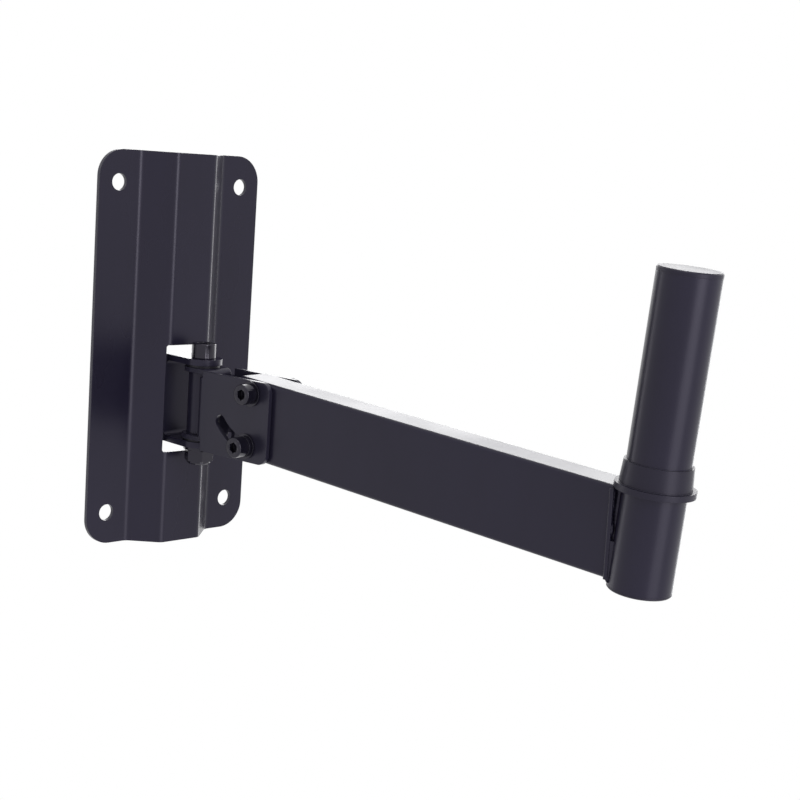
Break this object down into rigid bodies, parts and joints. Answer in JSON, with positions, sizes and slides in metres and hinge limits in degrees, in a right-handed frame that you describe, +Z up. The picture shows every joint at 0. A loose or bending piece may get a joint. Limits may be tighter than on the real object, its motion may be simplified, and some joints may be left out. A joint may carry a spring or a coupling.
{
  "type": "speaker wall bracket",
  "caption": "Black steel wall bracket with a folded plate, a swivelling and tilting arm and an upright pole that carries a loudspeaker by its socket.",
  "frame": {"origin": "middle of the wall plate's back, in the plane of the wall", "axes": "-Y points out of the wall, +X to the right for someone who faces the wall, +Z up"},
  "size_m": [0.1295, 0.4012, 0.26],
  "materials": {
    "coated_steel": "satin black powder coat",
    "black_fastener": "glossy black oxide",
    "black_plastic": "fine matt plastic",
    "friction_plastic": "smooth black nylon"
  },
  "bodies": {
    "wall_mount": {"wall_plate": "coated_steel", "hinge_bracket": "coated_steel", "swivel_bolt": "black_fastener", "swivel_washer": "black_fastener", "swivel_nut": "black_fastener", "upper_friction_washer": "friction_plastic", "lower_friction_washer": "friction_plastic"},
    "yoke": {"yoke": "coated_steel", "spacer_tube": "black_fastener", "tilt_bolt": "black_fastener", "tilt_washer_near": "black_fastener", "tilt_washer_far": "black_fastener", "tilt_nut": "black_fastener"},
    "arm": {"arm_bar": "coated_steel", "pole_tube": "coated_steel", "pole_weld": "coated_steel", "collar": "black_plastic", "pole_cap": "black_plastic", "pole_plug": "black_plastic", "clamp_bolt": "black_fastener", "clamp_spring_washer": "black_fastener", "clamp_washer_near": "black_fastener", "clamp_washer_far": "black_fastener", "clamp_nut": "black_fastener"}
  },
  "joints": [
    {"name": "swivel", "type": "hinge", "parent": "wall_mount", "child": "yoke", "pos_m": [0, -0.036, -0.032], "axis": [0, 0, 1], "range_deg": [-97.3, 82.7]},
    {"name": "tilt", "type": "hinge", "parent": "yoke", "child": "arm", "pos_m": [0.00769, -0.09601, -0.0165], "axis": [0.9919, 0.1271, 0], "range_deg": [-4, 46]}
  ]
}
